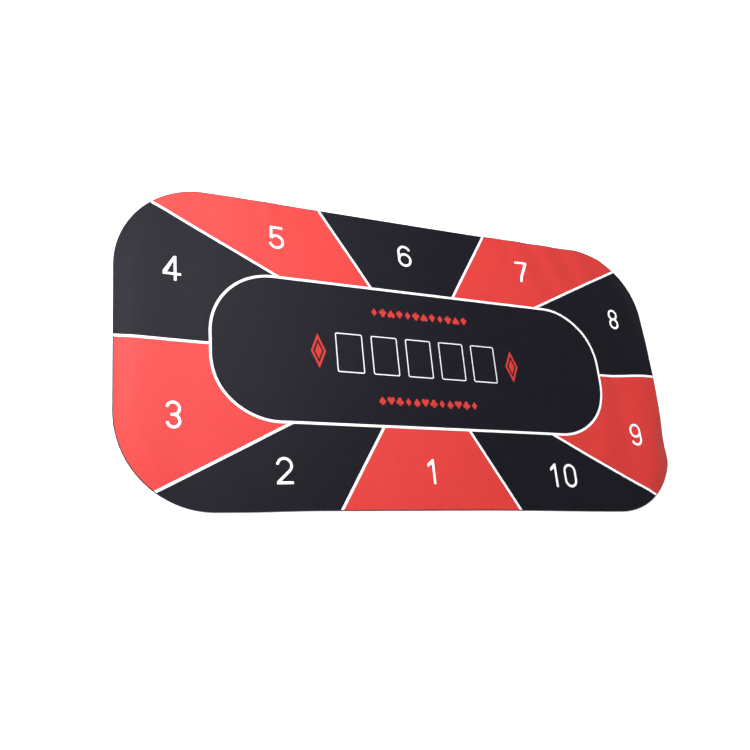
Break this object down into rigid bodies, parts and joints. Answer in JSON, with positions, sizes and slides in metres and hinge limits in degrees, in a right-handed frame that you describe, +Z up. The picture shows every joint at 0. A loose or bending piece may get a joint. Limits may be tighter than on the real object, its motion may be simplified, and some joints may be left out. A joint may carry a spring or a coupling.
{
  "type": "folding poker table top",
  "caption": "Soft rounded-rectangle poker table top mat of printed cloth on rubber foam, with coloured seat zones, a betting line and a row of card boxes; it folds over itself for storage.",
  "frame": {"origin": "middle of the underside, on the surface the mat lies on", "axes": "+X along the long side towards the right flap (seats 8 and 9), +Y across towards seat 6, +Z up out of the printed face"},
  "size_m": [1.8, 0.9, 0.003],
  "materials": {
    "base_rubber": "matte natural rubber foam with a fine non-slip grid on its underside",
    "bonding_film": "thin flexible heat-bonded film",
    "black_cloth": "fine smooth polyester knit, soft sheen",
    "red_print": "cloth dyed warm red, soft sheen",
    "white_print": "cloth left white for lines and numerals",
    "card_line_print": "fine pale grey printed line",
    "red_mark_print": "small red printed marks"
  },
  "bodies": {
    "middle_panel": {"rubber_base_middle": "base_rubber", "bonding_film_middle": "bonding_film", "face_cloth_middle": "black_cloth", "red_print_middle": "red_print", "white_line_print_middle": "white_print", "seat_numeral_print_middle": "white_print", "card_box_print": "card_line_print", "suit_row_print": "red_mark_print"},
    "left_flap": {"rubber_base_left": "base_rubber", "bonding_film_left": "bonding_film", "face_cloth_left": "black_cloth", "red_print_left": "red_print", "white_line_print_left": "white_print", "seat_numeral_print_left": "white_print", "lozenge_print_left": "red_mark_print"},
    "right_flap": {"rubber_base_right": "base_rubber", "bonding_film_right": "bonding_film", "face_cloth_right": "black_cloth", "red_print_right": "red_print", "white_line_print_right": "white_print", "seat_numeral_print_right": "white_print", "lozenge_print_right": "red_mark_print"}
  },
  "joints": [
    {"name": "left_fold", "type": "hinge", "parent": "middle_panel", "child": "left_flap", "pos_m": [-0.313, 0, 0.006], "axis": [0, 1, 0], "range_deg": [0, 179.5]},
    {"name": "right_fold", "type": "hinge", "parent": "middle_panel", "child": "right_flap", "pos_m": [0.282, 0, 0.013], "axis": [0, -1, 0], "range_deg": [0, 179.5]}
  ]
}
